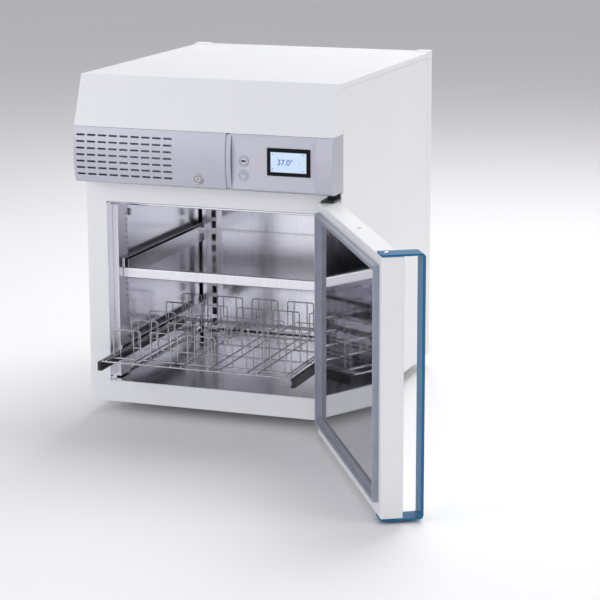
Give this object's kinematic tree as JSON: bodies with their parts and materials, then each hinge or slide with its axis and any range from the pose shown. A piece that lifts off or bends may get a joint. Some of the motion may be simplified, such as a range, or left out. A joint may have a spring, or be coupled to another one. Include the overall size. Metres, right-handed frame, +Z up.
{
  "type": "laboratory incubator",
  "caption": "Bench laboratory incubator with an open insulated door, blue strip handle, sliding shelf, wire dish rack and a head with grille and control panel.",
  "frame": {"origin": "on the surface it stands on, under the middle of its outline with the door open as stored", "axes": "+X to the incubator's right as its front is faced, +Y to its back, +Z up"},
  "size_m": [1.1125, 1.4386, 0.9155],
  "materials": {
    "casing_white": "smooth white powder coat",
    "head_silver": "satin silver coat",
    "chamber_stainless": "bright rolled stainless",
    "door_mirror_steel": "mirror polished stainless",
    "bright_chrome": "bright",
    "black_steel": "black",
    "black_plastic": "fine satin",
    "handle_blue": "satin blue coat",
    "gasket_grey": "matt, moulded",
    "insulation_foam": "rigid foam",
    "screen_glass": "lit display glass",
    "foot_rubber": "matt",
    "zinc_sheet": "dull grey",
    "circuit_board": "solder mask"
  },
  "bodies": {
    "cabinet": {"side_panel_left": "casing_white", "side_panel_right": "casing_white", "top_panel": "casing_white", "rear_panel": "casing_white", "base_pan": "casing_white", "front_frame": "casing_white", "head_fascia": "casing_white", "head_housing": "head_silver", "grille_cover": "head_silver", "control_panel": "head_silver", "control_plate": "head_silver", "data_port_ring": "head_silver", "button_ring": "head_silver", "chamber_liner": "chamber_stainless", "air_baffle": "chamber_stainless", "front_standard_left": "chamber_stainless", "front_standard_right": "chamber_stainless", "rear_standard_left": "chamber_stainless", "rear_standard_right": "chamber_stainless", "shelf_runner_left": "chamber_stainless", "shelf_runner_right": "chamber_stainless", "rack_rail_left": "chamber_stainless", "rack_rail_right": "chamber_stainless", "thumb_screw_left": "bright_chrome", "thumb_screw_right": "bright_chrome", "temperature_sensor": "bright_chrome", "lock_escutcheon": "bright_chrome", "hinge_bracket_upper": "black_steel", "hinge_bracket_lower": "black_steel", "fan_motor": "black_steel", "heating_element": "black_steel", "display_bezel": "black_plastic", "data_port_insert": "black_plastic", "power_inlet": "black_plastic", "mains_switch_frame": "black_plastic", "insulation_jacket": "insulation_foam", "display_screen": "screen_glass", "foot_front_left": "foot_rubber", "foot_front_right": "foot_rubber", "foot_rear_left": "foot_rubber", "foot_rear_right": "foot_rubber", "electronics_tray": "zinc_sheet", "power_supply": "zinc_sheet", "controller_board": "circuit_board"},
    "door": {"door_outer_shell": "casing_white", "door_insulation": "insulation_foam", "door_inner_panel": "door_mirror_steel", "door_gasket": "gasket_grey", "door_handle": "handle_blue", "handle_screw_top": "bright_chrome", "handle_screw_bottom": "bright_chrome"},
    "rack_carriage": {"rack_runner_left": "black_steel", "rack_runner_right": "black_steel"},
    "rack": {"wire_rack": "bright_chrome"},
    "shelf": {"upper_shelf": "chamber_stainless"},
    "lock_turner": {"lock_cylinder": "bright_chrome"},
    "lock_bar": {"lock_bolt": "bright_chrome"},
    "button": {"power_button": "head_silver"},
    "rocker": {"mains_rocker": "black_plastic"},
    "fan": {"fan_impeller": "black_plastic"}
  },
  "joints": [
    {"name": "door_hinge", "type": "hinge", "parent": "cabinet", "child": "door", "pos_m": [0.1368, -0.1112, 0.314], "axis": [0, 0, 1], "range_deg": [-121, 14]},
    {"name": "rack_carriage_slide", "type": "slide", "parent": "cabinet", "child": "rack_carriage", "axis": [0, -1, 0], "range_m": [-0.151, 0.0184]},
    {"name": "rack_slide", "type": "slide", "parent": "rack_carriage", "child": "rack", "axis": [0, -1, 0], "range_m": [0, 0.25]},
    {"name": "shelf_slide", "type": "slide", "parent": "cabinet", "child": "shelf", "axis": [0, -1, 0], "range_m": [0, 0.3]},
    {"name": "lock_turn", "type": "hinge", "parent": "cabinet", "child": "lock_turner", "pos_m": [-0.2087, -0.1292, 0.662], "axis": [0, 1, 0], "range_deg": [0, 90]},
    {"name": "lock_bolt_slide", "type": "slide", "parent": "cabinet", "child": "lock_bar", "axis": [0, 0, -1], "range_m": [0, 0.0321]},
    {"name": "power_button_press", "type": "slide", "parent": "cabinet", "child": "button", "axis": [0, 1, 0], "range_m": [0, 0.002], "stiffness_N_per_m": 300},
    {"name": "mains_rocker_tilt", "type": "hinge", "parent": "cabinet", "child": "rocker", "pos_m": [0.0518, 0.7088, 0.706], "axis": [1, 0, 0], "range_deg": [0, 16]},
    {"name": "fan_spin", "type": "hinge", "parent": "cabinet", "child": "fan", "pos_m": [-0.2012, 0.5908, 0.334], "axis": [0, 1, 0], "continuous": true}
  ],
  "couplings": [
    {"joint": "rack_carriage_slide", "follows": "door_hinge", "m_per_rad": 0.07103},
    {"joint": "lock_bolt_slide", "follows": "lock_turn", "m_per_rad": 0.02037}
  ]
}
